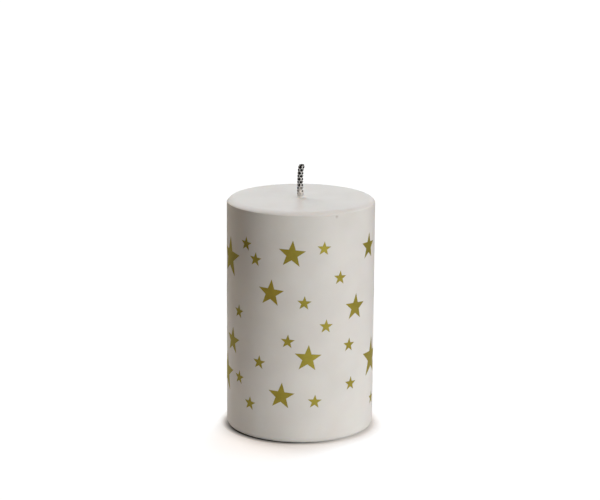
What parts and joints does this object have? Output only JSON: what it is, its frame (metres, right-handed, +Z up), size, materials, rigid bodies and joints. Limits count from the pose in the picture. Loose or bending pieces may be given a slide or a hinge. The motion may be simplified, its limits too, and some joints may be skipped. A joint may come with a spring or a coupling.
{
  "type": "pillar candle",
  "caption": "Round white pillar candle with a rounded shoulder, a braided wick and gold foil stars wrapped on its side.",
  "frame": {"origin": "centre of the base, on the plane the candle stands on", "axes": "+Z up along the candle's axis and wick, -Y towards the front of the star artwork, +X to the right seen from the front"},
  "size_m": [0.0702, 0.0702, 0.1256],
  "materials": {
    "coat_wax": "smooth white wax with a satin sheen",
    "core_wax": "cast ivory wax, matt",
    "wick_cotton": "black and white braided cotton",
    "tab_tin": "tin-plated sheet",
    "gold_foil": "matt gold foil"
  },
  "bodies": {
    "root": {"star_grand_back_01": "gold_foil", "star_grand_back_02": "gold_foil", "star_grand_back_03": "gold_foil", "star_grand_front_01": "gold_foil", "star_grand_front_02": "gold_foil", "star_grand_front_03": "gold_foil", "star_large_back_01": "gold_foil", "star_large_back_02": "gold_foil", "star_large_back_03": "gold_foil", "star_large_back_04": "gold_foil", "star_large_back_05": "gold_foil", "star_large_back_06": "gold_foil", "star_large_back_07": "gold_foil", "star_large_front_01": "gold_foil", "star_large_front_02": "gold_foil", "star_large_front_03": "gold_foil", "star_large_front_04": "gold_foil", "star_large_front_05": "gold_foil", "star_large_front_06": "gold_foil", "star_large_front_07": "gold_foil", "star_small_back_01": "gold_foil", "star_small_back_02": "gold_foil", "star_small_back_03": "gold_foil", "star_small_back_04": "gold_foil", "star_small_back_05": "gold_foil", "star_small_back_06": "gold_foil", "star_small_back_07": "gold_foil", "star_small_back_08": "gold_foil", "star_small_back_09": "gold_foil", "star_small_back_10": "gold_foil", "star_small_back_11": "gold_foil", "star_small_back_12": "gold_foil", "star_small_back_13": "gold_foil", "star_small_back_14": "gold_foil", "star_small_back_15": "gold_foil", "star_small_back_16": "gold_foil", "star_small_front_01": "gold_foil", "star_small_front_02": "gold_foil", "star_small_front_03": "gold_foil", "star_small_front_04": "gold_foil", "star_small_front_05": "gold_foil", "star_small_front_06": "gold_foil", "star_small_front_07": "gold_foil", "star_small_front_08": "gold_foil", "star_small_front_09": "gold_foil", "star_small_front_10": "gold_foil", "star_small_front_11": "gold_foil", "star_small_front_12": "gold_foil", "star_small_front_13": "gold_foil", "star_small_front_14": "gold_foil", "star_small_front_15": "gold_foil", "star_small_front_16": "gold_foil", "wax_coat": "coat_wax", "wax_core": "core_wax", "wick": "wick_cotton", "wick_tab": "tab_tin"}
  },
  "joints": []
}
